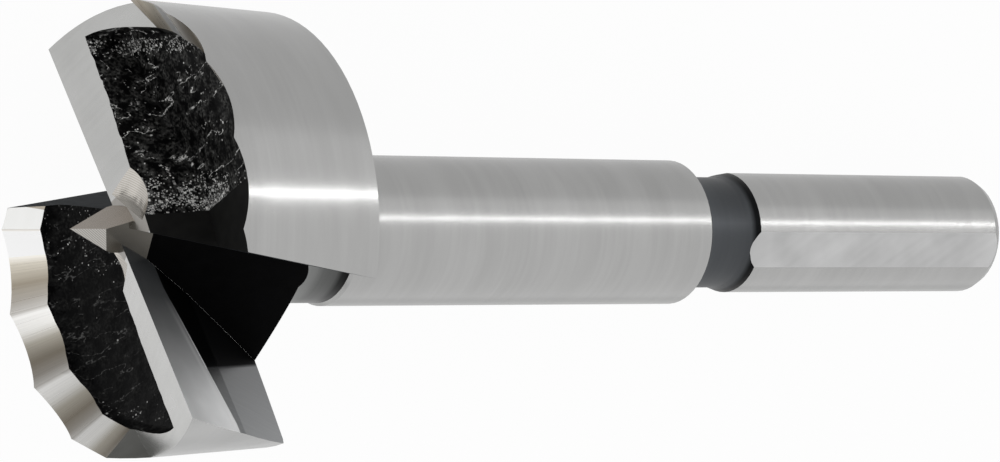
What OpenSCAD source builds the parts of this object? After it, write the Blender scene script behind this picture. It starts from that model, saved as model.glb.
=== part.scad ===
// Forstner bit: a round shank, a ground neck, and a cutting head with a wave-cut rim, two lifters and a centre point.
// It is one forged and ground piece. It is drawn along its own axis with the shank end at zero, and both halves of
// the head are one half turned about that axis. It is then laid down as it comes to rest on a flat surface.

/* [Overall] */
// Length from the shank end to the tip of the centre point
overall_l = 90.3; // [86:0.1:98]
// Diameter of the hole that the rim cuts
head_d = 35; // [33:0.1:37]
// Diameter of the rim at its rear edge
head_rear_d = 33.8; // [32:0.1:35]
// Length of the head from its rear face to the rim teeth
head_l = 14.1; // [13:0.1:16]
// Height of the centre point above the rim teeth
point_rise = 4.2; // [3.6:0.1:5]
// How far the rear face leans forward from the neck to the rim
rear_lean = 1.65; // [0.8:0.05:2.4]
// Chamfer on the rear edge of the rim
rear_chamfer = 0.4; // [0.2:0.1:0.8]

/* [Shank and neck] */
// Diameter of the shank
shank_d = 10; // [9:0.1:11]
// Length of the shank up to the groove
shank_l = 26.9; // [22:0.1:30]
// Length of the chamfer on the shank end
shank_chamfer = 0.7; // [0.3:0.1:1.2]
// Half-angle of the arc that each shank flat takes away
flat_half_angle = 14; // [8:0.5:14.5]
// Direction of the first shank flat
flat_angle = -17.6; // [-60:0.1:60]
// Diameter of the groove between the shank and the neck
groove_d = 9.2; // [8:0.1:9.4]
// Length of the groove with its flare
groove_l = 5.5; // [4:0.1:7]
// Length of the flare from the shank into the groove
flare_l = 1.3; // [0.8:0.1:2]
// Diameter of the neck
neck_d = 11.9; // [11:0.1:13]
// Chamfer on the end of the neck
neck_chamfer = 0.5; // [0.2:0.1:0.8]
// Diameter of the neck root behind the head
root_d = 11.4; // [10.6:0.1:12]
// Length of the neck root
root_l = 4.1; // [3:0.1:6]

/* [Rim teeth] */
// Angle between two rim teeth
tooth_pitch = 22.5; // [20:0.5:24]
// Height of a tooth above the bottom of its scallop, along the rim
tooth_h = 0.6; // [0.4:0.05:0.9]
// Radial width of the bevel inside the rim edge
bevel_w = 2.1; // [1.6:0.1:2.4]
// Angle on the rim of the last tooth, which falls to the land beyond it
fall_angle = 85; // [82:0.5:88]
// Slope of that fall along the rim
fall_slope = 39; // [34:1:42]

/* [Lifters] */
// Drop of the cutting edges below the rim teeth
edge_drop = 0.1; // [0:0.05:0.4]
// Direction of the cutting edges
edge_angle = 128.3; // [126:0.1:130]
// Offset of the cutting edges from the axis
edge_offset = 0.4; // [0.2:0.1:0.7]
// Rake angle of the ground rake faces
rake_angle = 26; // [23:0.5:28]
// Length of the ground rake faces along the axis
rake_l = 6.7; // [5:0.1:8]
// Rake angle of the gullet walls behind the rake faces
back_rake_angle = 30; // [28.5:0.5:32]
// Relief angle of the lands
relief_angle = 13.5; // [10:0.5:16]
// Width of the lands by the centre
land_w = 2.4; // [2:0.1:2.8]
// Angle by which the lands widen toward the rim
land_widen = 5.5; // [3:0.5:8]
// Draft of the wall between a land and the hollow behind it
land_draft = 12; // [6:1:18]

/* [Gullets and hollows] */
// Angle on the rim, at the front, where each rim segment ends
trail_angle = -5.6; // [-8:0.1:-4]
// Direction in which the end wall of each rim segment faces
trail_facing = -96; // [-99:0.5:-93]
// Lean of the end wall of each rim segment
trail_lean = 9.7; // [7:0.1:12]
// Direction in which the gullet floors face
floor_angle = -40; // [-44:0.5:-36]
// Slope of the gullet floors to the axis
floor_slope = 21.8; // [19:0.2:24]
// Distance from the axis to a gullet floor at the rear face
floor_rear = 5.6; // [5.2:0.1:5.9]
// Direction in which the sides of the web face
web_angle = -37; // [-41:0.5:-33]
// Thickness of the web under the centre point
web_t = 2; // [1.6:0.1:2.8]
// Depth of the hollows below the inner edge of the bevel
hollow_depth = 1.9; // [1.2:0.1:2.6]
// Slope of the hollow floors down to the axis
hollow_slope = 10; // [4:0.5:14]
// Radius of the corner between a hollow floor and the rim
hollow_round = 1.4; // [0.8:0.1:1.8]

/* [Centre point] */
// Half-angle of the edges of the centre point
point_half_angle = 27.3; // [24:0.1:30]
// Radius at which the centre point meets the web
point_r = 1.8; // [1.5:0.1:2.2]
// Radius of the hollow grind beside the point
grind_r = 2.6; // [2.2:0.1:3]
// Direction of the hollow grind from the axis
grind_angle = 62; // [56:1:68]
// Depth of the hollow grind below the cutting edges
grind_depth = 1.4; // [1.1:0.1:1.7]

/* [Hidden] */
// Smoothness of round surfaces
$fn = 96;
// Sub-parts
// Side of a cutting block, larger than the head
block = 2 * head_d;
// Radii
shank_r = shank_d / 2;
groove_r = groove_d / 2;
neck_r = neck_d / 2;
root_r = root_d / 2;
head_r = head_d / 2;
rear_r = head_rear_d / 2;
bevel_in_r = head_r - bevel_w;
// Places along the axis, from the shank end
flare_z = shank_l + flare_l;
neck_z = shank_l + groove_l;
tooth_z = overall_l - point_rise;
rear_z = tooth_z - head_l;
rim_rear_z = rear_z + rear_lean;
root_z = rear_z - root_l;
trough_z = tooth_z - tooth_h;
edge_z = tooth_z - edge_drop;
rake_end_z = edge_z - rake_l;
bevel_in_z = tooth_z - bevel_w;
hollow_z = bevel_in_z - hollow_depth;
// Growth of the rim's radius toward the teeth
rim_taper = (head_r - rear_r) / (tooth_z - rim_rear_z);
// Overlap of the teeth cuts and the hollows
rim_overlap = 0.2;
// Teeth of one rim segment that are a full pitch apart, and the last of them
full_teeth = floor(fall_angle / tooth_pitch);
last_full_angle = full_teeth * tooth_pitch;
// Radius of the scallops that leaves each tooth at its full height
tooth_half_w = head_r * sin(tooth_pitch / 2);
tooth_sag = (tooth_h + head_r * (1 - cos(tooth_pitch / 2))) / sqrt(2);
scallop_r = (tooth_half_w * tooth_half_w + tooth_sag * tooth_sag) / (2 * tooth_sag);
// Length of a tooth cut down the bevel, past the inner edge of the bevel
tooth_cut_l = 2 * bevel_w;
// Direction across the cutting edges, from a gullet to the land behind it
across_angle = edge_angle - 90;
rake_end_offset = edge_offset + rake_l * tan(rake_angle);
// Rest on a flat surface: the outer corner of a cutting edge, the rear corner of the rim across its gullet,
// and the edge of the shank end
corner_a_angle = edge_angle - asin(edge_offset / head_r);
corner_b_reach = head_r * cos(trail_angle - trail_facing) + (trough_z - rim_rear_z) * tan(trail_lean);
corner_b_angle = 180 + trail_facing + acos(corner_b_reach / rear_r);
corner_a = [head_r * cos(corner_a_angle), head_r * sin(corner_a_angle), edge_z];
corner_b = [rear_r * cos(corner_b_angle), rear_r * sin(corner_b_angle), rim_rear_z];
rest_share = (corner_b.z - corner_a.z) / (corner_a.z - shank_chamfer);
rest_side = corner_b - corner_a * (1 + rest_share);
rest_turn = acos(-rest_share * shank_r / norm([rest_side.x, rest_side.y]));
down_angle = atan2(rest_side.y, rest_side.x) - rest_turn;
down_reach = corner_a.x * cos(down_angle) + corner_a.y * sin(down_angle);
rest_tilt = atan((down_reach - shank_r) / (corner_a.z - shank_chamfer));

forstner_bit();

// The bit at rest, with the middle of its shank at the origin and the centre point toward +X
module forstner_bit() {
    color([0.7, 0.71, 0.72])
        rotate([0, 90 - rest_tilt, 0])
            rotate([0, 0, -down_angle])
                translate([0, 0, -shank_l / 2])
                    bit();
}

// The bit on its own axis
module bit() {
    difference() {
        blank();
        shank_flats();
        both_halves() {
            teeth_cut();
            land_cut();
            hollow_cut();
            point_grind();
            gullet_cut();
        }
    }
    centre_point();
}

// Block that fills the side of a plane to which its normal points
module side(place, facing, rise) {
    translate(place)
        rotate([0, -rise, facing])
            translate([0, -block / 2, -block / 2])
                cube(block);
}

// Place at a distance from the axis
function at(distance, angle, z) = [distance * cos(angle), distance * sin(angle), z];

// Both halves of the head from one
module both_halves() {
    for (turn = [0, 180]) rotate([0, 0, turn]) children();
}

// Turned blank of the whole bit
module blank() {
    rotate_extrude()
        polygon([
            [0, 0],
            [shank_r - shank_chamfer / 2, 0],
            [shank_r, shank_chamfer],
            [shank_r, shank_l],
            [groove_r, flare_z],
            [groove_r, neck_z],
            [neck_r - neck_chamfer, neck_z],
            [neck_r, neck_z + neck_chamfer],
            [neck_r, root_z - (neck_r - root_r)],
            [root_r, root_z],
            [root_r, rear_z],
            [rear_r - rear_chamfer, rim_rear_z - rear_chamfer / 2],
            [rear_r, rim_rear_z],
            [head_r + rim_taper * tooth_h, tooth_z + tooth_h],
            [0, tooth_z + tooth_h]
        ]);
}

// Three flats that a chuck grips, run out into the flare
module shank_flats() {
    for (turn = [0, 120, 240])
        rotate([0, 0, flat_angle + turn])
            translate([shank_r * cos(flat_half_angle), -shank_r, -shank_l])
                cube([shank_d, shank_d, shank_l + flare_z]);
}

// Teeth of one rim segment
module teeth_cut() {
    difference() {
        union() {
            for (tooth = [0 : full_teeth]) scallop((tooth - 0.5) * tooth_pitch, tooth_pitch / 2);
            scallop((last_full_angle + fall_angle) / 2, (fall_angle - last_full_angle) / 2);
        }
        cylinder(h = overall_l, r = bevel_in_r - rim_overlap);
    }
}

// One scallop between two teeth, with its axis along the bevel
module scallop(angle, half_angle) {
    half_w = head_r * sin(half_angle);
    end_in = head_r * (1 - cos(half_angle)) / sqrt(2);
    rotate([0, 0, angle])
        translate([head_r, 0, tooth_z])
            rotate([0, 45, 0])
                translate([-end_in - sqrt(scallop_r * scallop_r - half_w * half_w), 0, -tooth_cut_l])
                    cylinder(h = tooth_cut_l + bevel_w, r = scallop_r);
}

// Space above the fall of the last tooth
module fall_side() {
    intersection() {
        side([0, 0, edge_z], last_full_angle + 90, 0);
        rotate([0, 0, fall_angle])
            translate([head_r, 0, tooth_z])
                rotate([-fall_slope, 0, 0])
                    rotate([0, 45, 0])
                        translate([-block, -block / 2, -block / 2])
                            cube(block);
    }
}

// Land behind one cutting edge, with its strip along the rim that meets the fall of the last tooth
module land_cut() {
    intersection() {
        side(at(edge_offset, across_angle, edge_z), across_angle, 90 - relief_angle);
        side([0, 0, edge_z], across_angle, 0);
        union() {
            fall_side();
            cylinder(h = overall_l, r = bevel_in_r / 2);
        }
    }
}

// Hollow behind one land
module hollow_cut() {
    floor_r = bevel_in_r - hollow_round;
    intersection() {
        rotate_extrude()
            polygon([
                [0, hollow_z - floor_r * tan(hollow_slope)],
                [floor_r, hollow_z],
                [bevel_in_r - hollow_round * (1 - cos(45)), hollow_z + hollow_round * (1 - sin(45))],
                [bevel_in_r, hollow_z + hollow_round],
                [bevel_in_r, overall_l],
                [0, overall_l]
            ]);
        side(at(edge_offset + land_w, across_angle, edge_z), across_angle - land_widen, land_draft);
    }
}

// Gullet between the end of one rim segment and the rake face of the other lifter
module gullet_cut() {
    intersection() {
        side(at(head_r, trail_angle, trough_z), trail_facing, trail_lean);
        side(at(floor_rear, floor_angle, rear_z), floor_angle, floor_slope);
        side(at(web_t / 2, web_angle, edge_z), web_angle, 0);
        union() {
            side(at(-edge_offset, across_angle, edge_z), across_angle, -rake_angle);
            side(at(-rake_end_offset, across_angle, rake_end_z), across_angle, -back_rake_angle);
        }
    }
}

// Hollow grind beside the point, from the web out to the hollow
module point_grind() {
    rotate([0, 0, grind_angle])
        translate([point_r, 0, edge_z - grind_depth + grind_r])
            rotate([0, 90, 0])
                cylinder(h = bevel_in_r / 2, r = grind_r);
}

// Centre point: a four-sided pyramid, thinned to the web on both gullet sides
module centre_point() {
    pyramid_h = point_rise + bevel_w;
    intersection() {
        translate([0, 0, overall_l - pyramid_h])
            cylinder(h = pyramid_h, r1 = pyramid_h * tan(point_half_angle), r2 = 0, $fn = 4);
        rotate([0, 0, web_angle])
            translate([-web_t / 2, -head_r, 0])
                cube([web_t, head_d, overall_l]);
        cylinder(h = overall_l, r = point_r);
    }
}
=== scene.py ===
# %% [markdown]
# A forstner bit bores clean, flat-bottomed holes in wood. It is one forged piece of tool steel: a shank for
# the chuck, a neck, and a round head. The maker grinds some faces bright and leaves others black from the
# forge. This lesson takes the solid as it is and gives every face the finish that it has on the real tool.

# %% Load the solid
import math

import bmesh
import bpy
from mathutils import Matrix, Vector, noise
from mathutils.geometry import intersect_point_line


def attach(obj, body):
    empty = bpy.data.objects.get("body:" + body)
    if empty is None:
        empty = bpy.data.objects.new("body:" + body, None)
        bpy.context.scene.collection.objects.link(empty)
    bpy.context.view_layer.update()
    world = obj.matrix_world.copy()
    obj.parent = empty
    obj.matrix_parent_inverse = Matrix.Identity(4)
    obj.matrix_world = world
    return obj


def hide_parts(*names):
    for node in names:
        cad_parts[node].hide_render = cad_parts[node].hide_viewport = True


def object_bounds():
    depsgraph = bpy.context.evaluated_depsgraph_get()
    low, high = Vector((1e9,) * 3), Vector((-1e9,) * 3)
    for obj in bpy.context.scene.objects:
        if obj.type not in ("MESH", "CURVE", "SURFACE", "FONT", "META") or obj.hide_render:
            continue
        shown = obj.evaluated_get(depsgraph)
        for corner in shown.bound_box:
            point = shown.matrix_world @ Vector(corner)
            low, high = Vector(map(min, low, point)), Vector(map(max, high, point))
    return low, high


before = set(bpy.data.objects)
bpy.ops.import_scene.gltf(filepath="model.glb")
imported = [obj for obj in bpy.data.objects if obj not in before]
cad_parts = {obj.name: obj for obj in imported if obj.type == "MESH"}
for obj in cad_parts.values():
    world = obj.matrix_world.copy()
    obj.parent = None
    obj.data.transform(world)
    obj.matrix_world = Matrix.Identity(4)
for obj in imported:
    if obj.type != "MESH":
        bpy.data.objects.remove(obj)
cad_box = [list(corner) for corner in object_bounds()]
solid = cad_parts["forstner_bit"]
print("Loaded", solid.name, "with", len(solid.data.polygons), "triangles")

# %% [markdown]
# The bit lies on the rim of its head and the end of its shank, so its own axis is tilted. Most of what
# follows is easier to say along that axis: up from the shank end, and round it by angle. One matrix turns
# points of the bit's own axes into points of the scene, and its inverse turns them back. Lengths are in
# millimetres before that.

# %% The bit's own axes
MM = 0.001
SHANK_MIDDLE = 13.45
TIP_Z = 90.3
REST_TILT = math.radians(7.96234)
DOWN_ANGLE = math.radians(141.64135)
LEAN = math.pi / 2 - REST_TILT
turn_to_scene = Matrix.Rotation(LEAN, 4, "Y") @ Matrix.Rotation(-DOWN_ANGLE, 4, "Z")
to_scene = turn_to_scene @ Matrix.Translation((0, 0, -SHANK_MIDDLE * MM))
to_bit = to_scene.inverted()


def scene_point(x, y, z):
    """A point of the bit's own axes, in millimetres, as a point of the scene."""
    return to_scene @ Vector((x * MM, y * MM, z * MM))


def scene_direction(x, y, z):
    """A direction along the bit's own axes, as a direction of the scene."""
    return (turn_to_scene.to_3x3() @ Vector((x, y, z))).normalized()


print("Tip of the centre point at", [round(v, 4) for v in scene_point(0, 0, TIP_Z)])

# %% [markdown]
# A long lens far from the tool keeps its round parts close to their true outline, as in the photograph. The
# camera looks at the head from in front and from one side, and its picture is level with the axis of the bit,
# so the camera itself is rolled over. That is hard to say with three angles. A matrix with the camera's
# right, up and back directions as columns sets all of it at once.

# %% Camera
CAMERA_PLACE = (292.172, -0.953, 264.948)
CAMERA_BACK = (0.80561, -0.00267, 0.59245)
CAMERA_UP = (0, 1, 0.0045)
SENSOR = 36
LENS = 161.96
NEAREST = 0.01


def facing_matrix(place, back, up):
    """A place and turn whose local Z axis points along back, with local Y near up."""
    right = up.cross(back).normalized()
    turn = Matrix((right, back.cross(right), back)).transposed().to_4x4()
    return Matrix.Translation(place) @ turn


scene = bpy.context.scene
camera_data = bpy.data.cameras.new("camera")
camera_data.sensor_fit = "HORIZONTAL"
camera_data.sensor_width = SENSOR
camera_data.lens = LENS
camera_data.clip_start = NEAREST
camera = bpy.data.objects.new("camera", camera_data)
scene.collection.objects.link(camera)
camera.matrix_world = facing_matrix(
    scene_point(*CAMERA_PLACE), scene_direction(*CAMERA_BACK), scene_direction(*CAMERA_UP)
)
scene.camera = camera
print("Camera at", [round(v, 3) for v in camera.location])

# %% [markdown]
# The world, the floor and every finish are trees of nodes. They could be joined by hand in the editor. Here
# a few helpers add the nodes, so that a finish reads as a short list of steps.

# %% Adding nodes
def fill(tree, made, inputs):
    """Links a node's inputs, or sets them where a plain value is given."""
    for name, value in inputs.items():
        if isinstance(value, bpy.types.NodeSocket):
            tree.links.new(value, made.inputs[name])
        else:
            made.inputs[name].default_value = value


def node(tree, kind, inputs=None, **settings):
    """Adds a node, sets its properties and fills its inputs."""
    made = tree.nodes.new(kind)
    for name, value in settings.items():
        setattr(made, name, value)
    fill(tree, made, inputs or {})
    return made


def empty_tree(owner):
    """The node tree of a material or a world, with nothing in it."""
    owner.use_nodes = True
    owner.node_tree.nodes.clear()
    return owner.node_tree


# %% [markdown]
# Most steps of a finish are plain arithmetic: two values multiplied, the larger of two, or a value moved from
# one range to another. Each is one node, and a short name for it keeps the finishes easy to read.

# %% Arithmetic with nodes
def math_node(tree, operation, first, second=0.0, third=0.0):
    """One step of arithmetic, as a node's output."""
    return node(tree, "ShaderNodeMath", {0: first, 1: second, 2: third}, operation=operation).outputs[0]


def times(tree, first, second):
    """Two values multiplied."""
    return math_node(tree, "MULTIPLY", first, second)


def larger(tree, first, second):
    """The larger of two values."""
    return math_node(tree, "MAXIMUM", first, second)


def spread(tree, value, low, high, to_low=0.0, to_high=1.0, **settings):
    """A value moved from one range to another, and kept inside it."""
    inputs = {"Value": value, "From Min": low, "From Max": high, "To Min": to_low, "To Max": to_high}
    return node(tree, "ShaderNodeMapRange", inputs, **settings).outputs["Result"]


def mixed_value(tree, factor, low, high):
    """A value between two."""
    return node(tree, "ShaderNodeMix", {"Factor": factor, "A": low, "B": high}).outputs[0]


def axes_of(tree, place):
    """The parts of a place along X, Y and Z."""
    return node(tree, "ShaderNodeSeparateXYZ", {0: place}).outputs


# %% [markdown]
# Steel shows what is around it, so a product picture of steel is mostly a picture of its surroundings: white
# paper with soft lamps. A picture of a real room could stand in for that, but plain white is enough here. The
# world is white to the camera and to reflections, a little less so overhead, and a dimmer fill to all else.
# A Light Path node tells which kind of ray is looking.

# %% World
WHITE = (1, 1, 1, 1)
WORLD_FILL = 0.62
REFLECTED_LOW, REFLECTED_HIGH = 1.0, 0.96
SKY_LOW, SKY_HIGH = -0.2, 0.9


def seen_as_white(tree):
    """1 for rays of the camera, of reflections and of glass, else 0."""
    rays = node(tree, "ShaderNodeLightPath").outputs
    sharp = larger(tree, rays["Is Glossy Ray"], rays["Is Transmission Ray"])
    return larger(tree, rays["Is Camera Ray"], sharp)


scene.view_settings.view_transform = "Standard"
world = bpy.data.worlds.new("white_room")
scene.world = world
tree = empty_tree(world)
sky = axes_of(tree, node(tree, "ShaderNodeTexCoord").outputs["Generated"])
reflected = spread(
    tree, sky["Z"], SKY_LOW, SKY_HIGH, REFLECTED_LOW, REFLECTED_HIGH, interpolation_type="SMOOTHSTEP"
)
strength = mixed_value(tree, seen_as_white(tree), WORLD_FILL, reflected)
background = node(tree, "ShaderNodeBackground", {"Color": WHITE, "Strength": strength})
node(tree, "ShaderNodeOutputWorld", {"Surface": background.outputs[0]})
print("World:", world.name, "with a fill of", WORLD_FILL)

# %% [markdown]
# The tool lies on a sheet of white paper, one large square. Lit by the lamps alone it would come out grey, so
# most of it glows white to the camera and to reflections. The rest is plain shading, which keeps the soft
# shadow under the tool. The tool takes light from the paper near it, so reflections see that part darker.

# %% Floor
FLOOR_HALF = 1.5
FLOOR_WHITE_SHARE = 0.96
FLOOR_REFLECTED = 0.78
FLOOR_NEAR, FLOOR_FAR = 0.07, 0.3
PAPER = (0.9, 0.9, 0.9, 1)

floor_mesh = bpy.data.meshes.new("floor")
bm = bmesh.new()
bmesh.ops.create_grid(bm, x_segments=1, y_segments=1, size=FLOOR_HALF)
bmesh.ops.translate(bm, verts=bm.verts, vec=(0, 0, cad_box[0][2]))
bm.to_mesh(floor_mesh)
bm.free()
floor = bpy.data.objects.new("floor", floor_mesh)
scene.collection.objects.link(floor)

paper = bpy.data.materials.new("white_paper")
tree = empty_tree(paper)
plain = node(tree, "ShaderNodeBsdfDiffuse", {"Color": PAPER})
glossy = node(tree, "ShaderNodeLightPath").outputs["Is Glossy Ray"]
place = node(tree, "ShaderNodeTexCoord").outputs["Object"]
away = node(tree, "ShaderNodeVectorMath", {0: place}, operation="LENGTH").outputs["Value"]
reflected = spread(tree, away, FLOOR_NEAR, FLOOR_FAR, FLOOR_REFLECTED, 1.0)
strength = mixed_value(tree, glossy, 1.0, reflected)
glow = node(tree, "ShaderNodeEmission", {"Color": WHITE, "Strength": strength})
share = times(tree, seen_as_white(tree), FLOOR_WHITE_SHARE)
mixed = node(tree, "ShaderNodeMixShader", {0: share, 1: plain.outputs[0], 2: glow.outputs[0]})
node(tree, "ShaderNodeOutputMaterial", {"Surface": mixed.outputs[0]})
floor_mesh.materials.append(paper)
print("Floor at", round(cad_box[0][2], 5))

# %% [markdown]
# A long, narrow lamp beside the camera makes the bright line along the rim, the neck and the shank. Its
# direction is the camera's view mirrored in the side of a cylinder. A large lamp above fills the rest softly.

# %% Lamps
HEAD_MIDDLE = (0, 0, 60)


def lamp(name, direction, distance, size, power):
    """An area lamp that looks at the head from a direction along the bit's own axes, long along its axis."""
    data = bpy.data.lights.new(name, "AREA")
    data.shape = "RECTANGLE"
    data.size, data.size_y = size
    data.energy = power
    lit = bpy.data.objects.new(name, data)
    scene.collection.objects.link(lit)
    back = scene_direction(*direction)
    place = scene_point(*HEAD_MIDDLE) + back * distance
    along_bit = scene_direction(0, 0, 1)
    across = back.cross(along_bit).normalized()
    lit.matrix_world = facing_matrix(place, back, across)
    return lit


lamp("strip_lamp", direction=(0.767, 0.262, -0.587), distance=0.6, size=(0.5, 0.018), power=0.22)
lamp("top_lamp", direction=(0.5, 0.8, 0.35), distance=0.9, size=(0.7, 0.5), power=2.0)

# %% [markdown]
# Every finish starts from the same two steps. Object coordinates are turned into the bit's own axes by a
# Mapping node, so a pattern can run along the axis or round it. Then noise that is stretched one way makes
# the fine lines that grinding leaves. Pictures of steel could do that too, but nodes stay sharp at any size.

# %% Coordinates and noise
NO_TURN = (0, 0, 0)
WIDE = (0.25, 0.75)
MIDDLE = (0.3, 0.7)


def finish_base(name):
    """A new material with a Principled shader, and its coordinates along the bit's own axes."""
    material = bpy.data.materials.new(name)
    material.use_nodes = True
    tree = material.node_tree
    place = node(tree, "ShaderNodeTexCoord").outputs["Object"]
    turned = {"Vector": place, "Rotation": (0, -LEAN, DOWN_ANGLE), "Location": (0, 0, SHANK_MIDDLE * MM)}
    bit_place = node(tree, "ShaderNodeMapping", turned).outputs[0]
    return material, tree, tree.nodes["Principled BSDF"], bit_place


def stretched_noise(tree, place, scale, turn=NO_TURN, detail=3.0):
    """Noise from 0 to 1, with its own scale along each axis of a turned copy of the coordinates."""
    turned = node(tree, "ShaderNodeMapping", {"Vector": place, "Rotation": turn}).outputs[0]
    scaled = node(tree, "ShaderNodeMapping", {"Vector": turned, "Scale": scale}).outputs[0]
    return node(tree, "ShaderNodeTexNoise", {"Vector": scaled, "Scale": 1.0, "Detail": detail}).outputs["Fac"]


def weighed(tree, first, second, share):
    """Two values added, the first with a share of the whole and the second with the rest."""
    return math_node(tree, "MULTIPLY_ADD", first, share, times(tree, second, 1 - share))


# %% [markdown]
# Colours are mixed, multiplied, or picked from a row of stops. The Mix node has sockets of the same name for
# values, vectors and colours, so its colour sockets are picked by number. A bump only tips the light on a
# surface, which is enough for marks finer than a hair.

# %% Colours and bump
COLOUR_A, COLOUR_B, COLOUR_OUT = 6, 7, 2


def grey(level):
    return (level, level, level)


def colour_value(colour):
    """A colour as a socket takes it: another socket, or three parts and a full alpha."""
    return colour if isinstance(colour, bpy.types.NodeSocket) else (*colour, 1)


def blend(tree, factor, low, high, **settings):
    """A colour between two, as a node's output."""
    inputs = {"Factor": factor, COLOUR_A: colour_value(low), COLOUR_B: colour_value(high)}
    return node(tree, "ShaderNodeMix", inputs, data_type="RGBA", **settings).outputs[COLOUR_OUT]


def multiplied(tree, first, second):
    """Two colours multiplied."""
    return blend(tree, 1.0, first, second, blend_type="MULTIPLY", clamp_result=True)


def ramp(tree, value, stops):
    """A colour from a row of places from 0 to 1 and their colours."""
    made = node(tree, "ShaderNodeValToRGB", {"Fac": value})
    elements = made.color_ramp.elements
    elements[0].color = (*stops[0][1], 1)
    elements[-1].color = (*stops[-1][1], 1)
    for at, colour in stops[1:-1]:
        elements.new(at).color = (*colour, 1)
    return made.outputs["Color"]


def bumped(tree, shader, height, depth, strength):
    """Lets a height pattern, in metres at full scale, tip the surface."""
    bump = node(tree, "ShaderNodeBump", {"Height": height, "Distance": depth, "Strength": strength})
    tree.links.new(bump.outputs[0], shader.inputs["Normal"])


# %% [markdown]
# The rim, the neck and the shank are ground while the bit spins, so their lines run round the axis. The noise
# is squeezed along the axis and stretched across it. A second, wider noise gives the faint bands that show
# where the wheel moved on. The root of the neck and the groove are darker, and they take a row of shades
# along the axis: darker toward one end, with painted shade as a black band in the step at that end.

# %% Round ground steel
ROUND_LINES = (60, 60, 3500)
ROUND_BANDS = (90, 90, 420)
ROUND_LINE_SHARE = 0.25
SHANK_TOP, GROOVE_TOP, ROOT_Z, HEAD_REAR_Z = 26.9, 32.4, 67.9, 72.0
GROOVE_SPAN = (SHANK_TOP, GROOVE_TOP)
# Painted shade: the black band at the foot of the groove, in the step by the shank.
GROOVE_SHADES = [(0.0, 0.06), (0.07, 0.1), (0.15, 0.85), (0.6, 1.0), (1.0, 1.25)]
ROOT_SPAN = (ROOT_Z, HEAD_REAR_Z)
# Painted shade: the black band of the root in the step by the neck; toward the head it grows lighter.
ROOT_SHADES = [(0.0, 0.03), (0.16, 0.12), (0.3, 0.75), (0.62, 0.95), (0.8, 1.6), (1.0, 2.0)]


def round_ground_steel(name, dark, light, roughness, span=None, shades=None):
    material, tree, shader, place = finish_base(name)
    lines = stretched_noise(tree, place, ROUND_LINES, detail=2.0)
    bands = stretched_noise(tree, place, ROUND_BANDS)
    tone = spread(tree, weighed(tree, lines, bands, ROUND_LINE_SHARE), *WIDE)
    colour = blend(tree, tone, dark, light)
    if shades:
        along = spread(tree, axes_of(tree, place)["Z"], span[0] * MM, span[1] * MM)
        colour = multiplied(tree, colour, ramp(tree, along, [(at, grey(level)) for at, level in shades]))
    fill(tree, shader, {"Base Color": colour, "Roughness": roughness, "Metallic": 1.0})
    return material


rim_steel = round_ground_steel(
    "rim_ground_steel", dark=(0.375, 0.375, 0.37), light=(0.435, 0.435, 0.43), roughness=0.18
)
neck_steel = round_ground_steel(
    "neck_ground_steel", dark=(0.375, 0.375, 0.37), light=(0.44, 0.44, 0.435), roughness=0.235
)
root_steel = round_ground_steel(
    "neck_root_steel", dark=(0.09, 0.092, 0.09), light=(0.13, 0.132, 0.13), roughness=0.3,
    span=ROOT_SPAN, shades=ROOT_SHADES,
)
groove_steel = round_ground_steel(
    "groove_steel", dark=(0.062, 0.066, 0.071), light=(0.082, 0.087, 0.093), roughness=0.42,
    span=GROOVE_SPAN, shades=GROOVE_SHADES,
)
print("Round finishes:", [steel.name for steel in (rim_steel, neck_steel, root_steel, groove_steel)])

# %% [markdown]
# The lands behind the cutting edges, the falls beside them and the flats of the shank are flat, and a cup
# wheel leaves fine lines across them. On the lands the lines run across the cutting edge, so the noise is
# turned with the edge before it is stretched. A tone that changes across the bit is painted light: it makes
# one half of the head lighter than the other.

# %% Flat ground steel
EDGE_ANGLE = math.radians(128.3)
EDGE_TURN = (0, 0, -EDGE_ANGLE)
DIAGONAL = (0.6, 0.4, 0)
FLAT_LINES = (2200, 120, 120)
CLOUD = (300, 300, 300)
FLAT_LINE_SHARE = 0.3
SMOOTHER, ROUGHER = 0.95, 1.08
SIDE_SPAN = 3 * MM
# Painted light across the bit, for the lands and the falls.
LAND_SIDE_LIGHT = (1.05, 0.88)
FALL_SIDE_LIGHT = (0.66, 1.25)


def flat_ground_steel(name, dark, light, roughness, turn=NO_TURN, metal=1.0, sides=None):
    material, tree, shader, place = finish_base(name)
    lines = stretched_noise(tree, place, FLAT_LINES, turn, detail=1.0)
    cloud = stretched_noise(tree, place, CLOUD, detail=2.0)
    tone = spread(tree, weighed(tree, lines, cloud, FLAT_LINE_SHARE), *WIDE)
    colour = blend(tree, tone, dark, light)
    # Painted light: one half of the head lighter than the other.
    if sides:
        across = axes_of(tree, place)["Y"]
        colour = multiplied(tree, colour, spread(tree, across, -SIDE_SPAN, SIDE_SPAN, *sides))
    rough = spread(tree, cloud, *WIDE, roughness * SMOOTHER, roughness * ROUGHER)
    fill(tree, shader, {"Base Color": colour, "Roughness": rough, "Metallic": metal})
    return material


land_steel = flat_ground_steel(
    "land_steel", dark=(0.62, 0.62, 0.608), light=(0.71, 0.71, 0.7), roughness=0.26,
    turn=EDGE_TURN, sides=LAND_SIDE_LIGHT,
)
fall_steel = flat_ground_steel(
    "fall_steel", dark=(0.14, 0.142, 0.132), light=(0.21, 0.21, 0.2), roughness=0.25,
    turn=EDGE_TURN, sides=FALL_SIDE_LIGHT,
)
flat_steel = flat_ground_steel(
    "shank_flat_steel", dark=grey(0.42), light=grey(0.58), roughness=0.3, turn=DIAGONAL
)
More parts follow.
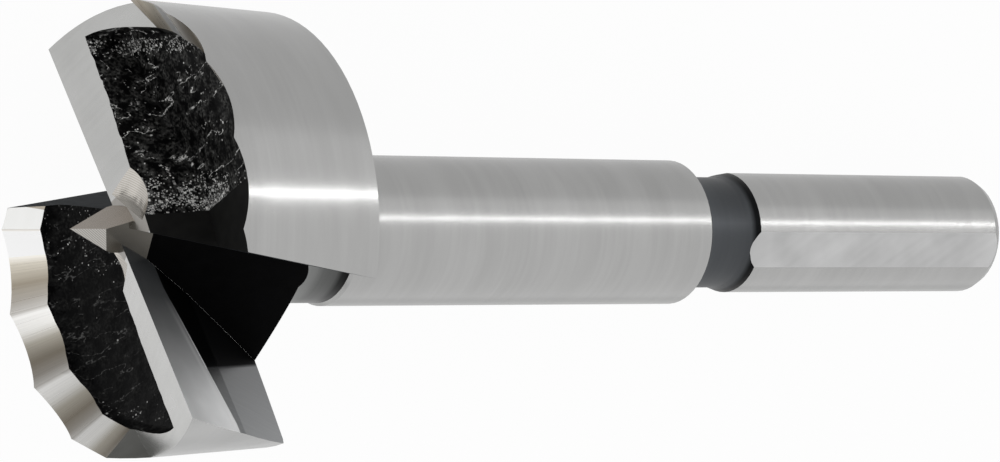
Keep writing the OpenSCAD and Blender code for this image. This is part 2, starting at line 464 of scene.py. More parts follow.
# Painted highlight: the last facet of each bevel is painted near white, a lit copy of ground steel.
end_steel = flat_ground_steel(
    "end_facet_steel", dark=(0.82, 0.82, 0.8), light=(0.9, 0.9, 0.89), roughness=0.2
)
web_finish = flat_ground_steel(
    "web_steel", dark=(0.1, 0.094, 0.082), light=(0.13, 0.122, 0.108), roughness=0.25
)
print("Flat finishes:", [steel.name for steel in (land_steel, fall_steel, flat_steel, end_steel, web_finish)])

# %% [markdown]
# A small wheel cuts each scallop of the rim and heats the thin edge, so the bevels are a warm straw grey. The
# lines run down the bevel, from the edge of the rim to the hollow. An angle round the axis, from an
# arctangent, makes lines that follow the rim. The same angle, counted in teeth, gives each tooth its row of
# tints: the warm straw grey, with a painted highlight and painted shade across each scallop. Painted light
# also makes the teeth grow lighter from one side of the bit to the other.

# %% Scallops of the rim
TOOTH_PITCH = math.radians(22.5)
# Tints across one tooth: warm straw grey from the heat, with painted highlight in the near-white stops and
# painted shade in the darkest ones.
SCALLOP_TINTS_AND_LIGHT = [
    (0.0, (0.44, 0.42, 0.39)), (0.06, (0.86, 0.85, 0.83)), (0.24, (0.84, 0.83, 0.8)),
    (0.42, (0.45, 0.42, 0.36)), (0.66, (0.25, 0.22, 0.175)), (0.86, (0.36, 0.335, 0.3)),
    (1.0, (0.6, 0.58, 0.55)),
]
SCALLOP_LINES = (150, 1, 120)
SCALLOP_LINED = (grey(0.9), grey(1.05))
# Painted light: the teeth lighter toward one side of the bit.
SCALLOP_LOW, SCALLOP_HIGH = -9.5 * MM, -2 * MM
SCALLOP_SIDE_LIGHT = (0.82, 1.7)
SCALLOP_ROUGH = (0.26, 0.36)
SCALLOP_DEPTH = 0.006 * MM


def scallop_steel():
    material, tree, shader, place = finish_base("scallop_steel")
    parts = axes_of(tree, place)
    angle = math_node(tree, "ARCTAN2", parts["Y"], parts["X"])
    round_place = node(tree, "ShaderNodeCombineXYZ", {"X": angle, "Z": parts["Z"]}).outputs[0]
    lines = stretched_noise(tree, round_place, SCALLOP_LINES)
    tooth = math_node(tree, "FRACT", math_node(tree, "DIVIDE", angle, TOOTH_PITCH))
    lined = blend(tree, spread(tree, lines, *MIDDLE), *SCALLOP_LINED)
    # Painted light: a factor that makes the teeth lighter toward one side.
    wear_and_side_light = spread(tree, parts["Y"], SCALLOP_LOW, SCALLOP_HIGH, *SCALLOP_SIDE_LIGHT)
    colour = multiplied(tree, multiplied(tree, ramp(tree, tooth, SCALLOP_TINTS_AND_LIGHT), lined), wear_and_side_light)
    rough = spread(tree, lines, *MIDDLE, *SCALLOP_ROUGH)
    fill(tree, shader, {"Base Color": colour, "Roughness": rough, "Metallic": 0.8})
    bumped(tree, shader, lines, SCALLOP_DEPTH, strength=0.4)
    return material


scallop_finish = scallop_steel()
print("Scallops:", scallop_finish.name)

# %% [markdown]
# Two sides of the centre point and the trough beside it carry ribs from a coarse wheel. Cutting every rib
# would take many faces for little. A Wave texture gives even ribs as colour and bump, and real wheels wander
# a little, so it has some distortion. The other sides of the point and the steel beside the trough are plain.

# %% Centre point
RIB_TURN = (-0.98, 0, 0)
GRIND_ANGLE = math.radians(62)
GRIND_TURN = (0, 0, -GRIND_ANGLE)


def ribbed_steel(name, dark, light, depth, scale, turn, way):
    material, tree, shader, place = finish_base(name)
    turned = node(tree, "ShaderNodeMapping", {"Vector": place, "Rotation": turn}).outputs[0]
    ribs = node(
        tree, "ShaderNodeTexWave",
        {"Vector": turned, "Scale": scale, "Distortion": 0.4, "Detail": 1.0, "Detail Scale": 0.5},
        bands_direction=way,
    ).outputs["Fac"]
    fill(tree, shader, {"Base Color": blend(tree, ribs, dark, light), "Roughness": 0.24, "Metallic": 1.0})
    bumped(tree, shader, ribs, depth, strength=0.6)
    return material


point_finish = ribbed_steel(
    "point_steel", dark=(0.33, 0.315, 0.29), light=(0.5, 0.485, 0.46),
    depth=0.012 * MM, scale=3000.0, turn=RIB_TURN, way="Z",
)
grind_finish = ribbed_steel(
    "point_grind_steel", dark=(0.5, 0.47, 0.43), light=(0.62, 0.595, 0.555),
    depth=0.006 * MM, scale=1700.0, turn=GRIND_TURN, way="X",
)
plain_point = flat_ground_steel(
    "plain_point_steel", dark=(0.29, 0.26, 0.23), light=(0.36, 0.33, 0.3), roughness=0.25
)
trough_finish = flat_ground_steel(
    "trough_steel", dark=(0.34, 0.325, 0.305), light=(0.42, 0.405, 0.38), roughness=0.28
)
print("Point:", [steel.name for steel in (point_finish, grind_finish, plain_point, trough_finish)])

# %% [markdown]
# The hollows keep the scale of the forge: nearly black and grainy. Bright specks on some grains are painted
# glints. A Voronoi texture makes round grains, and its random colour picks which of them take a glint. More
# of them do in a band below the rim wall, by the inner end of the hollow and in loose patches. Thin painted
# glints also run along cracks, which follow the places where a noise passes its middle value.

# %% Where the scale carries painted glints
PATCHES = (420, 800, 500)
CRACKS = (140, 560, 400)
FORGE_TURN = (0, 0, -0.3)
NOISE_MIDDLE = 0.5
CRACK_FADE = (0.011, 0.005)
CRACK_GAPS = (0.46, 0.54)
WALL_FADE = (14.8 * MM, 14.5 * MM)
BAND_FADE = (13.2 * MM, 13.8 * MM)
BAND_CHANCE = 0.85
END_FADE = (4.6 * MM, 2.2 * MM)
GLINT_PATCHES = {"low": 0.42, "high": 0.56, "to_low": 0.15, "to_high": 1.0}
LOOSE_PATCHES = {"low": 0.56, "high": 0.72, "to_low": 0.008, "to_high": 0.16}


def glint_chance(tree, place, parts):
    """The chance that a grain carries a painted glint here, and the painted glint lines of cracks."""
    patches = stretched_noise(tree, place, PATCHES, FORGE_TURN)
    streaks = stretched_noise(tree, place, CRACKS, FORGE_TURN, detail=4.0)
    off_line = math_node(tree, "ABSOLUTE", math_node(tree, "SUBTRACT", streaks, NOISE_MIDDLE))
    crack_glints = times(tree, spread(tree, off_line, *CRACK_FADE), spread(tree, patches, *CRACK_GAPS))
    across = math_node(tree, "ABSOLUTE", parts["Y"])
    below_wall = spread(tree, across, *WALL_FADE, 0.0, BAND_CHANCE)
    by_rim = times(tree, below_wall, spread(tree, across, *BAND_FADE))
    glint_places = larger(tree, by_rim, spread(tree, across, *END_FADE))
    uneven = times(tree, glint_places, spread(tree, patches, **GLINT_PATCHES))
    return larger(tree, uneven, spread(tree, patches, **LOOSE_PATCHES)), crack_glints


GRAIN_EDGE = (0.6, 0.3)


def shining_grains(tree, place, scale, chance, power):
    """Round grains of scale, of which some carry painted glints, some brighter and some fainter."""
    grains = node(tree, "ShaderNodeTexVoronoi", {"Vector": place, "Scale": scale}).outputs
    luck = axes_of(tree, grains["Color"])
    shines = math_node(tree, "LESS_THAN", luck["X"], chance)
    dot = spread(tree, grains["Distance"], *GRAIN_EDGE)
    return times(tree, times(tree, shines, dot), math_node(tree, "POWER", luck["Y"], power))


# %% [markdown]
# One hollow takes much more painted light than the other one, in glints and in grey on the lumps, so every
# amount has a pair of values, the first for the shaded hollow and the second for the lit one. A line through
# the axis parts the two. Two sizes of glinting grain, the glints of the cracks and a faint wear on the lumps
# add up to the colour, and the same lumps tip the surface.

# %% Forge scale of the hollows
GRAINS_PER_METRE = 6800.0
LARGE_GRAINS_PER_METRE = 3600.0
LARGE_SHARE = 0.35
LUMPS = (1100, 1100, 1100)
FINE = (4200, 4200, 4200)
LUMP_SHARE = 0.7
PARTING_LEAN = 0.2
PARTING_HALF = 0.3 * MM
# Each pair: the shaded hollow first, then the lit one, which takes more painted glints.
CHANCE_PAIR, POWER_PAIR = (0.22, 1.0), (6.0, 1.0)
CRACK_PAIR, WEAR_PAIR = (0.1, 0.9), (0.2, 1.0)
BROKEN = {"low": 0.42, "high": 0.58, "to_low": 0.1}
WORN_FINE, WORN_LUMPS = (0.4, 0.7), (0.4, 0.62)
# The last colour here is a painted glint on a grain.
SCALE_BLACK, SCALE_WORN, PAINTED_GLINT = (0.002, 0.002, 0.0022), (0.1, 0.1, 0.096), (0.95, 0.95, 0.93)
SCALE_DEPTH = 0.12 * MM


def hollow_forge_scale():
    material, tree, shader, place = finish_base("hollow_forge_scale")
    lumps = stretched_noise(tree, place, LUMPS, detail=4.0)
    fine = stretched_noise(tree, place, FINE)
    parts = axes_of(tree, place)
    side = math_node(tree, "MULTIPLY_ADD", parts["X"], PARTING_LEAN, parts["Y"])
    # Painted light: on one side of this line is the lit hollow, on the other the shaded one.
    lit_hollow = spread(tree, side, -PARTING_HALF, PARTING_HALF)
    amount, crack_glints = glint_chance(tree, place, parts)
    chance = times(tree, amount, spread(tree, lit_hollow, 0.0, 1.0, *CHANCE_PAIR))
    power = spread(tree, lit_hollow, 0.0, 1.0, *POWER_PAIR)
    small = shining_grains(tree, place, GRAINS_PER_METRE, chance, power)
    large = shining_grains(tree, place, LARGE_GRAINS_PER_METRE, times(tree, chance, LARGE_SHARE), power)
    broken = times(tree, crack_glints, spread(tree, fine, **BROKEN))
    lines = times(tree, broken, spread(tree, lit_hollow, 0.0, 1.0, *CRACK_PAIR))
    glint = larger(tree, larger(tree, small, large), lines)
    wear_and_side_light = times(tree, spread(tree, fine, *WORN_FINE), spread(tree, lumps, *WORN_LUMPS))
    lit_hollow_wear = times(tree, wear_and_side_light, spread(tree, lit_hollow, 0.0, 1.0, *WEAR_PAIR))
    colour = blend(tree, glint, blend(tree, lit_hollow_wear, SCALE_BLACK, SCALE_WORN), PAINTED_GLINT)
    fill(tree, shader, {"Base Color": colour, "Roughness": 0.35, "Specular IOR Level": 0.04})
    bumped(tree, shader, weighed(tree, lumps, fine, LUMP_SHARE), SCALE_DEPTH, strength=0.7)
    return material


hollow_scale = hollow_forge_scale()
print("Forge scale:", hollow_scale.name)

# %% [markdown]
# The gullets, their slate walls and the smooth end of a hollow have a plainer scale, dark and matt, with no
# bright grains. One cloudy noise is enough for it. Where a gullet meets the wall above it, the broken edge is
# bare steel, and its shine is a painted highlight: a thin near-white line.

# %% Matt scale
MATT_CLOUD = (900, 900, 900)
MATT_DEPTH = 0.02 * MM


def matt_scale(name, dark, light):
    material, tree, shader, place = finish_base(name)
    cloud = stretched_noise(tree, place, MATT_CLOUD, detail=4.0)
    colour = blend(tree, spread(tree, cloud, *MIDDLE), dark, light)
    fill(tree, shader, {"Base Color": colour, "Roughness": 0.6, "Specular IOR Level": 0.03})
    bumped(tree, shader, cloud, MATT_DEPTH, strength=0.4)
    return material


floor_scale = matt_scale(
    "gullet_forge_scale", dark=(0.0012, 0.0012, 0.0013), light=(0.0026, 0.0026, 0.0028)
)
smooth_scale = matt_scale(
    "smooth_forge_scale", dark=(0.009, 0.009, 0.0088), light=(0.013, 0.013, 0.0125)
)
slate_finish = matt_scale("slate_wall", dark=(0.02, 0.023, 0.026), light=(0.04, 0.044, 0.048))
# Painted highlight: the bare steel of the broken edge is painted near white.
line_steel = flat_ground_steel(
    "gullet_line_steel", dark=(0.8, 0.8, 0.78), light=(0.9, 0.9, 0.88), roughness=0.4, metal=0.0
)
print("Gullets:", [finish.name for finish in (floor_scale, smooth_scale, slate_finish, line_steel)])

# %% [markdown]
# The walls behind the rake faces are bright toward the rim, where the wheel reached, and black toward the
# centre. The distance across the bit mixes the two over a short way, and it also lets the bright part grow
# lighter outward. The colours are a helper of their own, because the foot of the rake face has them too.

# %% Part-ground walls
WALL_LINES = (6000, 200, 200)
WALL_LINED = (grey(0.93), grey(1.04))
WALL_GROUND = (10.4 * MM, 10.65 * MM)
WALL_OUTWARD = (10.6 * MM, 16.5 * MM)
WALL_BLACK = (0.0016, 0.0016, 0.0018)
WALL_DARK, WALL_LIGHT = (0.11, 0.113, 0.117), (0.285, 0.292, 0.3)
WALL_ROUGH = (0.6, 0.28)


def wall_tones(tree, place):
    """How far a place of the wall is ground, from 0 to 1, and its colour."""
    across = math_node(tree, "ABSOLUTE", axes_of(tree, place)["Y"])
    ground = spread(tree, across, *WALL_GROUND)
    lines = stretched_noise(tree, place, WALL_LINES, EDGE_TURN)
    bright = blend(tree, spread(tree, across, *WALL_OUTWARD), WALL_DARK, WALL_LIGHT)
    lined = multiplied(tree, bright, blend(tree, spread(tree, lines, *MIDDLE), *WALL_LINED))
    return ground, blend(tree, ground, WALL_BLACK, lined)


def part_ground_wall():
    material, tree, shader, place = finish_base("part_ground_wall")
    ground, colour = wall_tones(tree, place)
    rough = spread(tree, ground, 0.0, 1.0, *WALL_ROUGH)
    look = {"Base Color": colour, "Metallic": ground, "Roughness": rough, "Specular IOR Level": 0.03}
    fill(tree, shader, look)
    return material


wall_finish = part_ground_wall()
print("Walls:", wall_finish.name)

# %% [markdown]
# The rake faces are ground from the rim inward, so they are dull slate near the centre and bright near the
# rim. A row of tones along the distance from the axis does that. The ground part is a wedge that narrows
# toward the centre and is slightly hollow; painted shade darkens it upward. A soft streak and a fine bright
# line along its foot are painted highlights. Below that line the face has the finish of the wall.

# %% Rake faces
RAKE_FROM, RAKE_TO = 2 * MM, 15.5 * MM
RAKE_TONES = [
    (0.0, (0.1, 0.106, 0.112)), (0.25, (0.14, 0.146, 0.15)), (0.5, (0.36, 0.365, 0.37)),
    (0.75, (0.7, 0.705, 0.71)), (1.0, (0.9, 0.905, 0.91)),
]
EDGE_WAY = Vector((math.cos(EDGE_ANGLE), math.sin(EDGE_ANGLE), 0))
WEDGE_IN, WEDGE_OUT = 4 * MM, 16 * MM
WEDGE_IN_Z, WEDGE_OUT_Z = 82.5 * MM, 80.1 * MM
GROUND_HALF = 0.04 * MM
STREAK_RISE, STREAK_HALF, STREAK_SHARE = 0.6 * MM, 0.4 * MM, 0.5
FOOT_FADE = (0.1 * MM, 0.04 * MM)
SHINE_FADE = (5 * MM, 10 * MM)
DISH_FADE = (0.5 * MM, 5 * MM)
DISH_SHADE = (1.1, 0.76)
RAKE_UNEVEN = (grey(0.92), grey(1.04))
PAINTED_HIGHLIGHT = grey(0.9)
RAKE_METAL = 0.45


def axis_distance(tree, place):
    """The distance from the axis of the bit."""
    level = node(tree, "ShaderNodeVectorMath", {0: place, 1: (1, 1, 0)}, operation="MULTIPLY").outputs[0]
    return node(tree, "ShaderNodeVectorMath", {0: level}, operation="LENGTH").outputs["Value"]


def wedge_place(tree, place):
    """The distance along the cutting edge from the axis, and the rise above the foot of the wedge."""
    outward = node(tree, "ShaderNodeVectorMath", {0: place, 1: EDGE_WAY}, operation="DOT_PRODUCT")
    along = math_node(tree, "ABSOLUTE", outward.outputs["Value"])
    foot = spread(tree, along, WEDGE_IN, WEDGE_OUT, WEDGE_IN_Z, WEDGE_OUT_Z)
    return along, math_node(tree, "SUBTRACT", axes_of(tree, place)["Z"], foot)


def rake_face():
    material, tree, shader, place = finish_base("rake_steel")
    tone = ramp(tree, spread(tree, axis_distance(tree, place), RAKE_FROM, RAKE_TO), RAKE_TONES)
    cloud = stretched_noise(tree, place, CLOUD, detail=2.0)
    uneven = blend(tree, spread(tree, cloud, *MIDDLE), *RAKE_UNEVEN)
    along, rise = wedge_place(tree, place)
    # Painted highlights: a soft streak and a fine bright line along the foot of the wedge.
    off_streak = math_node(tree, "ABSOLUTE", math_node(tree, "SUBTRACT", rise, STREAK_RISE))
    highlight_streak = spread(tree, off_streak, STREAK_HALF, 0.0, 0.0, STREAK_SHARE)
    highlight_line = spread(tree, math_node(tree, "ABSOLUTE", rise), *FOOT_FADE)
    shine = times(tree, larger(tree, highlight_streak, highlight_line), spread(tree, along, *SHINE_FADE))
    ground = spread(tree, rise, -GROUND_HALF, GROUND_HALF)
    wall_ground, wall_colour = wall_tones(tree, place)
    # Painted shade: the hollow wedge darker upward.
    dish_shade = spread(tree, rise, *DISH_FADE, *DISH_SHADE)
    toned = multiplied(tree, multiplied(tree, tone, uneven), dish_shade)
    colour = blend(tree, shine, blend(tree, ground, wall_colour, toned), PAINTED_HIGHLIGHT)
    metal = mixed_value(tree, ground, wall_ground, RAKE_METAL)
    look = {"Base Color": colour, "Metallic": metal, "Roughness": 0.28, "Specular IOR Level": 0.03}
    fill(tree, shader, look)
    return material


rake_steel = rake_face()
print("Rake faces:", rake_steel.name)

# %% [markdown]
# Now the piece itself. It could be modelled again from nothing, but the solid already has the right shape.
# Its mesh is loose triangles, so a copy is merged first, and triangles that lie in one plane become one face.

# %% Copy of the solid
FINISHES = [
    rim_steel, neck_steel, root_steel, groove_steel, land_steel, rake_steel, scallop_finish, point_finish,
    hollow_scale, floor_scale, slate_finish, wall_finish, web_finish, fall_steel, flat_steel, grind_finish,
    smooth_scale, end_steel, plain_point, line_steel, trough_finish,
]
(
    RIM, NECK, ROOT, GROOVE, LAND, RAKE, SCALLOP, POINT, HOLLOW, GULLET, SLATE, WALL, WEB, FALL, FLAT_SIDE,
    GRIND, SMOOTH, END_FACET, PLAIN_POINT, LINE, TROUGH,
) = range(len(FINISHES))
MERGE = 1e-6
FLAT = math.radians(0.2)

bit_mesh = bpy.data.meshes.new("forstner_bit_finished")
for finish in FINISHES:
    bit_mesh.materials.append(finish)
bm = bmesh.new()
bm.from_mesh(solid.data)
bmesh.ops.remove_doubles(bm, verts=bm.verts, dist=MERGE)
bmesh.ops.dissolve_limit(bm, angle_limit=FLAT, verts=bm.verts, edges=bm.edges)
print("Merged copy:", len(bm.faces), "faces, open edges:", sum(e.is_boundary for e in bm.edges))

# %% [markdown]
# Three flats on the shank keep it from slipping in a chuck. They are ground a tenth of a millimetre deeper
# here than on the solid. A plane cuts each one off, and the hole that it leaves is filled with one new face.

# %% Flats of the shank
SHANK_R = 5.0
FLAT_HALF_ANGLE = math.radians(18)
FLAT_ANGLES = [math.radians(-17.6 + turn) for turn in (0, 120, 240)]
FLAT_END = 29.0
FLAT_REACH = SHANK_R * math.cos(FLAT_HALF_ANGLE)


def with_edges(faces):
    """Faces together with their edges and points, as an operator takes them."""
    edges = {e for f in faces for e in f.edges}
    points = {v for f in faces for v in f.verts}
    return faces + list(edges) + list(points)


def middle_of(face):
    """The middle of a face in the bit's own axes, in millimetres."""
    return (to_bit @ face.calc_center_median()) / MM


for angle in FLAT_ANGLES:
    away = Vector((math.cos(angle), math.sin(angle), 0))
    cut = bmesh.ops.bisect_plane(
        bm, geom=with_edges([f for f in bm.faces if middle_of(f).z < FLAT_END]), dist=MERGE,
        plane_co=scene_point(*(away * FLAT_REACH)), plane_no=scene_direction(*away), clear_outer=True,
    )
    rim_edges = [e for e in cut["geom_cut"] if isinstance(e, bmesh.types.BMEdge) and e.is_boundary]
    bmesh.ops.holes_fill(bm, edges=rim_edges, sides=0)
bm.normal_update()
print("With flats:", len(bm.faces), "faces, open edges:", sum(e.is_boundary for e in bm.edges))

# %% [markdown]
# Each face now takes its finish. Faces could be picked one by one in the editor. A rule picks them all, and
# it still works when the mesh changes: it reads the way a face looks, its distance from the axis and its
# place along the axis. For the flat faces of the head it is enough to know which way each of them looks.

# %% Which way the flat faces look
ACROSS = 38.3
SAME_WAY = math.cos(math.radians(1.6))
FALL_ANGLE, FALL_TIP, FALL_SLOPE = math.radians(85), math.radians(-39), math.radians(45)


def plane_normal(angle, rise):
    """The way a flat face looks: an angle round the axis, and a rise toward the tip."""
    angle, rise = math.radians(angle), math.radians(rise)
    return Vector((math.cos(rise) * math.cos(angle), math.cos(rise) * math.sin(angle), math.sin(rise)))


LAND_WAY = plane_normal(angle=ACROSS, rise=76.5)
WEB_WAY = plane_normal(angle=-37, rise=0)
fall_turn = Matrix.Rotation(FALL_ANGLE, 3, "Z") @ Matrix.Rotation(FALL_TIP, 3, "X")
FLAT_FACES = [
    (LAND_WAY, LAND),
    (plane_normal(angle=ACROSS, rise=-26), RAKE),
    (plane_normal(angle=ACROSS, rise=-30), WALL),
    (plane_normal(angle=-96, rise=9.7), SLATE),
    (plane_normal(angle=-40, rise=21.8), GULLET),
    (plane_normal(angle=32.8, rise=12), HOLLOW),
    (WEB_WAY, WEB),
    (fall_turn @ Matrix.Rotation(FALL_SLOPE, 3, "Y") @ Vector((-1, 0, 0)), FALL),
]
print("Kinds of flat face:", len(FLAT_FACES))

# %% [markdown]
# The rule goes from the shank up to the tip. The shank, the groove, the neck and its root follow from the
# place along the axis alone. Both halves of the head are alike, so a face there is also tried after half a
# turn. What is left over is the rim, its teeth or a hollow.

# %% Which finish each face takes
FLAT_LOW, FLAT_HIGH, FLAT_R = 1.0, SHANK_TOP + 1, 4.92
POINT_Z, POINT_R = 85.2, 1.85
ROOT_R, AXIS_R = 6.0, 1e-6
GRIND_AXIS_Z, GRIND_R, GRIND_NEAR = 87.2, 2.6, 0.12
GRIND_IN_R, GRIND_OUT_R = 1.0, 8.0
BEVEL_R, BEVEL_LOW, BEVEL_HIGH = 15.2, 0.5, 0.85
END_FROM, HALF_TURN = 174.4, 180
SIDEWAYS, LEVEL, OUTWARD, UPWARD = 0.9, 0.1, 0.7, 0.3
HALVES = (1, -1)


def shaft_finish(z):
    """The finish of the shank, the groove and the neck at a place along the axis."""
    if z < SHANK_TOP:
        return NECK
    return GROOVE if z < GROOVE_TOP else NECK


def in_trough(centre, half):
    """Whether a place lies on the round of the trough that is ground beside the point."""
    along = half * (centre.x * -math.sin(GRIND_ANGLE) + centre.y * math.cos(GRIND_ANGLE))
    return abs(math.hypot(along, centre.z - GRIND_AXIS_Z) - GRIND_R) < GRIND_NEAR


def head_finish(centre, normal, radius, outward):
    """The finish of a face of the head."""
    if radius < POINT_R and centre.z > POINT_Z and abs(normal.dot(WEB_WAY)) < SAME_WAY:
        return PLAIN_POINT if normal.x * normal.y > 0 else POINT
    for half in HALVES:
        turned = Vector((half * normal.x, half * normal.y, normal.z))
        for direction, finish in FLAT_FACES:
            if turned.dot(direction) > SAME_WAY:
                return finish
        if in_trough(centre, half) and GRIND_IN_R < radius < GRIND_OUT_R and normal.z > UPWARD:
            return GRIND
    if outward > OUTWARD or normal.z < -UPWARD:
        return RIM
    if radius > BEVEL_R and BEVEL_LOW < normal.z < BEVEL_HIGH:
        last_facet = math.degrees(math.atan2(centre.y, centre.x)) % HALF_TURN > END_FROM
        return END_FACET if last_facet else SCALLOP
    return HOLLOW


def finish_of(centre, normal):
    """The finish of a face, from its middle in millimetres and its direction along the bit's own axes."""
    radius = math.hypot(centre.x, centre.y)
    outward = (normal.x * centre.x + normal.y * centre.y) / max(radius, AXIS_R)
    on_flat = FLAT_LOW < centre.z < FLAT_HIGH and radius < FLAT_R
    if on_flat and outward > SIDEWAYS and abs(normal.z) < LEVEL:
        return FLAT_SIDE
    if centre.z < ROOT_Z:
        return shaft_finish(centre.z)
    if centre.z < HEAD_REAR_Z and radius < ROOT_R:
        return ROOT
    return head_finish(centre, normal, radius, outward)


counts = {}
turn_to_bit = to_bit.to_3x3()
for face in bm.faces:
    face.material_index = finish_of(middle_of(face), turn_to_bit @ face.normal)
    counts[face.material_index] = counts.get(face.material_index, 0) + 1
print("Faces of each finish:", {FINISHES[i].name: n for i, n in sorted(counts.items())})

# %% [markdown]
# The wheel that cuts the trough beside the point also runs over the inner end of each land and leaves it
# duller. A new material could fade from one finish to the other, but on the tool the border is plain to see.
# So a cut across the land parts that end off, and it takes the plain finish of the steel beside the trough.

# %% Inner ends of the lands
LAND_INNER = 2.3


def faces_of(finish):
    return [f for f in bm.faces if f.material_index == finish]


for half in HALVES:
    inner_place = scene_point(*(EDGE_WAY * half * LAND_INNER))
    bmesh.ops.bisect_plane(
        bm, geom=with_edges(faces_of(LAND)), dist=MERGE, plane_co=inner_place,
        plane_no=scene_direction(*EDGE_WAY),
    )
for face in faces_of(LAND):
    if abs(middle_of(face).dot(EDGE_WAY)) < LAND_INNER:
        face.material_index = TROUGH
print("Inner ends of lands:", len(faces_of(TROUGH)))

# %% [markdown]
# No real edge is perfectly sharp, and the thin line of light on an edge is what makes steel look like steel.
# A bevel of a few hundredths of a millimetre on every sharp edge gives that line. The hollows are rounded by
# their own rough surface instead, so their inner edges are left out. The broken edge at the foot of each wall
# is bare steel, and it takes the bright finish of a line, a painted highlight.

# %% Broken edges
EDGE_BREAK = 0.05 * MM
EDGE_SEGMENTS = 2
SHARP = math.radians(20)
LINE_REACH = 2 * EDGE_BREAK
LEFT_SHARP = ({HOLLOW}, {HOLLOW, LAND}, {HOLLOW, TROUGH})
LINE_BETWEEN = ({GULLET, WALL}, {GULLET, RAKE})


def finishes_at(thing):
    """The finishes that meet at an edge or a point."""
    return {f.material_index for f in thing.link_faces}


sharp_edges = [
    e for e in bm.edges
    if len(e.link_faces) == 2 and e.calc_face_angle() > SHARP and finishes_at(e) not in LEFT_SHARP
]
line_ends = [[v.co.copy() for v in e.verts] for e in sharp_edges if finishes_at(e) in LINE_BETWEEN]
broken = bmesh.ops.bevel(
    bm, geom=sharp_edges, offset=EDGE_BREAK, offset_type="OFFSET", segments=EDGE_SEGMENTS, profile=0.5,
    affect="EDGES", clamp_overlap=True, material=-1,
)
for face in broken["faces"]:
    middle = face.calc_center_median()
    for start, end in line_ends:
        nearest, share = intersect_point_line(middle, start, end)
        if 0 < share < 1 and (middle - nearest).length < LINE_REACH:
            face.material_index = LINE
print("Broken edges:", len(sharp_edges), "with bright lines:", len(line_ends))

# %% [markdown]
# The forged hollows need enough points to be lumpy. Subdividing their long, thin triangles would give long,
# thin squares. Cutting only their faces by two sets of planes, like a fine grid, gives small and even ones.

# %% Fine grid on the hollows
GRID = 0.45
GRID_HALF = 15.75
HOLLOW_Z = 84


def cut_hollows(place, normal):
    bmesh.ops.bisect_plane(bm, geom=with_edges(faces_of(HOLLOW)), dist=MERGE, plane_co=place, plane_no=normal)


bmesh.ops.triangulate(bm, faces=faces_of(HOLLOW))
for direction in (Vector((1, 0, 0)), Vector((0, 1, 0))):
    step = -GRID_HALF
    while step < GRID_HALF:
        cut_hollows(scene_point(*(direction * step).xy, HOLLOW_Z), scene_direction(*direction))
        step += GRID
print("Faces of the hollows:", len(faces_of(HOLLOW)))

# %% [markdown]
# Beside the point one end of a hollow was pressed smooth, with no grains. One more cut parts it off.

# %% Smooth end of a hollow
SMOOTH_FROM = (1.3, 0.6, 80)
SMOOTH_NORMAL = (-0.313, 0.95, 0)
SMOOTH_TO_Y = -3.5

smooth_place = scene_point(*SMOOTH_FROM)
smooth_normal = scene_direction(*SMOOTH_NORMAL)
cut_hollows(smooth_place, smooth_normal)
for face in faces_of(HOLLOW):
    middle = middle_of(face)
    beyond = (face.calc_center_median() - smooth_place).dot(smooth_normal) < 0
    if beyond and middle.x > SMOOTH_FROM[0] and middle.y > SMOOTH_TO_Y:
        face.material_index = SMOOTH
bm.normal_update()
print("Smooth faces:", len(faces_of(SMOOTH)))

# %% [markdown]
# Forging leaves shallow lumps. A displacement modifier could make them, but it would move the edges of the
# hollows too. So each inner point moves a little along its normal by smooth noise, of two sizes.

# %% Lumps of the forge
LUMP = 0.09 * MM
LUMP_SCALE = 900.0
FINE_LUMP = 0.035 * MM
FINE_SCALE = 2600.0

inner = [v for v in bm.verts if finishes_at(v) == {HOLLOW}]
moves = []
for v in inner:
    lump = LUMP * noise.noise(v.co * LUMP_SCALE) + FINE_LUMP * noise.noise(v.co * FINE_SCALE)
    moves.append(v.normal * lump)
for v, move in zip(inner, moves):
    v.co += move
print("Forged points moved:", len(inner))

# %% [markdown]
# The outer corner of each hollow reaches further along the land than on the solid. Points near that corner
# slide within the plane of the land, so the land stays flat. The slide eases off with the distance from the
# corner, which leaves no kink where it ends.

# %% Outer corners of the hollows
CORNER = Vector((-5.67, 14.32))
CORNER_MOVE = Vector((-0.85, 0.55))
CORNER_REACH = 6.5

corner_rise = -CORNER_MOVE.dot(LAND_WAY.xy) / LAND_WAY.z
slid = 0
for v in bm.verts:
    finishes = finishes_at(v)
    if HOLLOW not in finishes or finishes - {HOLLOW, LAND, SMOOTH}:
        continue
    place = (to_bit @ v.co) / MM
    for half in HALVES:
        share = max(0, 1 - (place.xy - half * CORNER).length / CORNER_REACH)
        eased = share * share * (3 - 2 * share)
        move = Vector((*(half * CORNER_MOVE), corner_rise)) * MM
        v.co += turn_to_scene.to_3x3() @ move * eased
        slid += share > 0
print("Points moved at the corners:", slid)

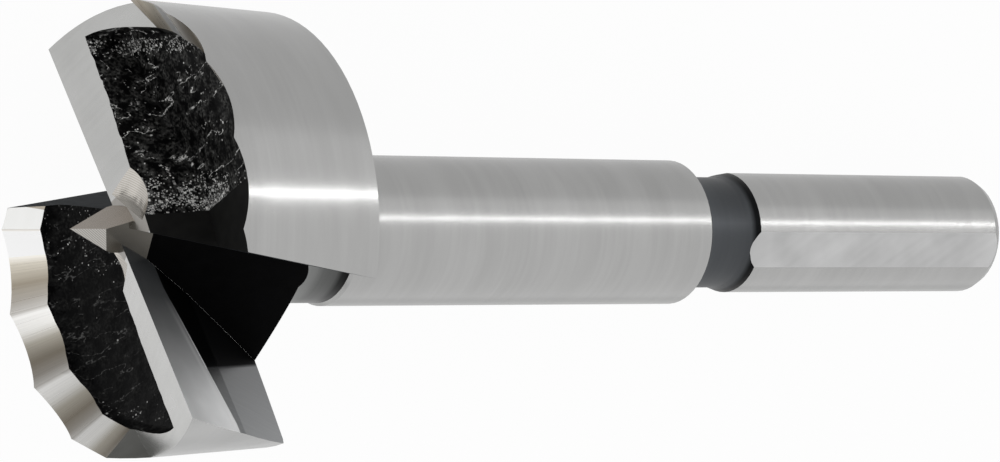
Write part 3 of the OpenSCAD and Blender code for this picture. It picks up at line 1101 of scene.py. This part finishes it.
# %% [markdown]
# The edge between a hollow and its land is ragged, because the wheel meets the lumps of the forge there. Its
# points wander by noise, but only within the plane of the land. The wander fades out at both ends of the
# edge, where the land is narrow. Blender draws the offsets of vector noise anew in each run, so a seed keeps
# the edge the same.

# %% Ragged edges
RAG = 0.16 * MM
RAG_SCALE = 1700.0
RAG_FROM, RAG_TO = 5.2, 15.2
RAG_SEED = 1

noise.seed_set(RAG_SEED)
ragged = [v for v in bm.verts if finishes_at(v) == {HOLLOW, LAND}]
for v in ragged:
    lands = [f for f in v.link_faces if f.material_index == LAND]
    land_up = max(lands, key=lambda f: f.calc_area()).normal
    radius = (to_bit @ v.co).xy.length / MM
    share = min(1, max(0, min(radius - RAG_FROM, RAG_TO - radius)))
    wander = noise.noise_vector(v.co * RAG_SCALE) * RAG * share
    v.co += wander - land_up * wander.dot(land_up)
print("Ragged edge points:", len(ragged))

# %% [markdown]
# Smooth shading is right for the round faces and the hollows. The ground flats are shaded flat, or the broken
# edges would bend the light across them. Where round faces meet at less than a set angle the shading runs on,
# and a Weighted Normal modifier lets the large faces lead.

# %% Finished piece
FLAT_FINISHES = {LAND, TROUGH, POINT, PLAIN_POINT, RAKE, WALL, GULLET, SLATE, WEB, FALL, FLAT_SIDE}
SMOOTH_BELOW = math.radians(28)
LARGE_FACES_LEAD = 100
FOUR_SIDED = 4

bmesh.ops.triangulate(bm, faces=[f for f in bm.faces if len(f.verts) > FOUR_SIDED])
bm.normal_update()
bm.to_mesh(bit_mesh)
bm.free()
bit_mesh.set_sharp_from_angle(angle=SMOOTH_BELOW)
for face in bit_mesh.polygons:
    face.use_smooth = face.material_index not in FLAT_FINISHES
bit = bpy.data.objects.new("forstner_bit_finished", bit_mesh)
scene.collection.objects.link(bit)
weighted = bit.modifiers.new("weighted_normals", "WEIGHTED_NORMAL")
weighted.keep_sharp = True
weighted.weight = LARGE_FACES_LEAD
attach(bit, "root")
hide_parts("forstner_bit")
print("Finished piece:", len(bit_mesh.polygons), "faces")

# %% [markdown]
# A finish must not change the size of the tool. The box of the solid is printed below.

# %% Size of the solid
bpy.context.view_layer.update()
print("CAD box", cad_box)
